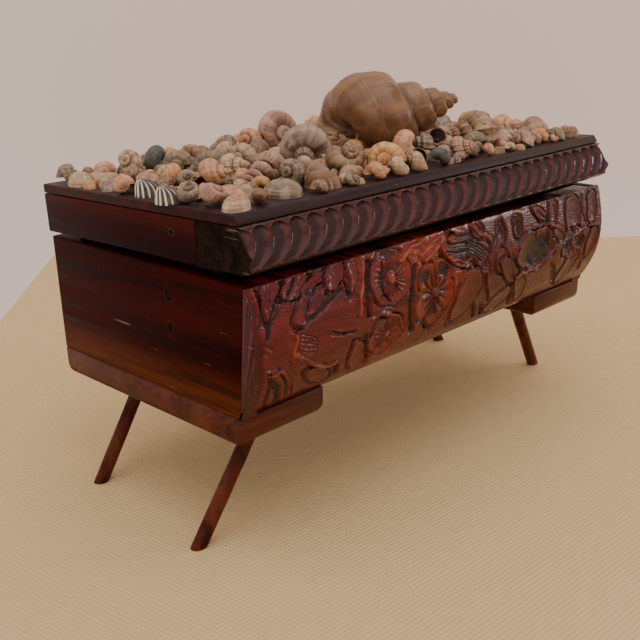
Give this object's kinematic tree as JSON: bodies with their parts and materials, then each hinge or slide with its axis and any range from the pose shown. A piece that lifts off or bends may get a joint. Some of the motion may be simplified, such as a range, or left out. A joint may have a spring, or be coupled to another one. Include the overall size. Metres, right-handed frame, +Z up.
{
  "type": "shell-covered wooden box",
  "caption": "Small varnished wooden casket on splayed dowel legs, with a bowed carved front and a lift-off lid with a fluted moulding, its top covered with sea shells.",
  "frame": {"origin": "on the ground, under the middle of the whole piece's box", "axes": "+X along the length of the box, to the right as its carved front is faced; -Y towards the carved front; +Z up"},
  "size_m": [0.2744, 0.134, 0.172],
  "materials": {
    "base_wood": "brown varnish, half gloss, worn edges",
    "body_wood": "dark red-brown varnish, worn lighter towards the foot",
    "carved_wood": "glossy crimson-brown varnish, raised edges worn to orange",
    "lid_wood": "dark varnish, dusty brown-grey on the top board",
    "moulding_wood": "dark purple-brown varnish, reddish on worn ridges",
    "shell_brown": "natural sea shell: worn shell, matt",
    "shell_cream": "natural sea shell, ribbed, matt, dark lines",
    "shell_grey": "natural sea shell, worn, matt with pale streaks",
    "shell_olive": "natural sea shell: smooth shell, half gloss, darker spiral",
    "shell_orange": "natural sea shell: smooth shell, half gloss",
    "shell_peach": "natural sea shell: smooth shell, glossy in places",
    "shell_pink": "natural sea shell: worn shell, matt",
    "shell_slate": "natural sea shell: smooth dark shell, half gloss",
    "shell_tan": "natural sea shell, smooth and worn, low gloss"
  },
  "bodies": {
    "root": {"lid_top_board": "lid_wood", "lid_front_moulding": "moulding_wood", "lid_end_left": "lid_wood", "lid_end_right": "lid_wood", "lid_back_board": "lid_wood", "lid_lip_left": "base_wood", "lid_lip_right": "base_wood", "shell_cluster_back_left": "shell_cream", "shell_cluster_back_middle": "shell_brown", "shell_cluster_back_right": "shell_grey", "shell_whelk": "shell_tan", "shell_moon_pink": "shell_pink", "shell_snail_grey_big": "shell_grey", "shell_moon_honey": "shell_peach", "shell_snail_chipped": "shell_grey", "shell_cone_ringed": "shell_pink", "shell_moon_olive": "shell_olive", "shell_turban_cream": "shell_cream", "shell_snail_peach_arch": "shell_peach", "shell_moon_green_dark": "shell_slate", "shell_snail_olive": "shell_olive", "shell_snail_brown_nubby": "shell_brown", "shell_snail_green_grey": "shell_olive", "shell_snail_tan_blue": "shell_tan", "shell_snail_peach_small": "shell_orange", "shell_snail_black_marked": "shell_grey", "shell_snail_peach_holed": "shell_peach", "shell_turban_brown": "shell_brown", "shell_periwinkle_grey": "shell_grey", "shell_snail_pink_bean": "shell_pink", "shell_stub_tan": "shell_tan", "shell_snail_dark_mouth": "shell_brown", "shell_turban_banded": "shell_grey", "shell_snail_green_orange": "shell_slate", "shell_turban_pink": "shell_pink", "shell_whelk_broken": "shell_brown", "shell_knob_cream": "shell_cream", "shell_snail_orange": "shell_orange", "shell_snail_terracotta": "shell_peach", "shell_snail_brown_right": "shell_brown", "shell_moon_grey_right": "shell_grey", "shell_snail_ochre": "shell_orange", "shell_snail_tan_back": "shell_tan", "shell_moon_cream_back": "shell_cream", "shell_cockle_striped": "shell_cream", "shell_cockle_striped_front": "shell_cream", "shell_clam_beige": "shell_cream", "shell_limpet_grey": "shell_grey", "shell_cockle_tan": "shell_tan", "body_front_panel": "carved_wood", "body_end_left": "body_wood", "body_end_right": "body_wood", "body_back_board": "body_wood", "body_floor_board": "base_wood", "cleat_left": "base_wood", "cleat_right": "base_wood", "leg_front_left": "base_wood", "leg_back_left": "base_wood", "leg_front_right": "base_wood", "leg_back_right": "base_wood"}
  },
  "joints": []
}
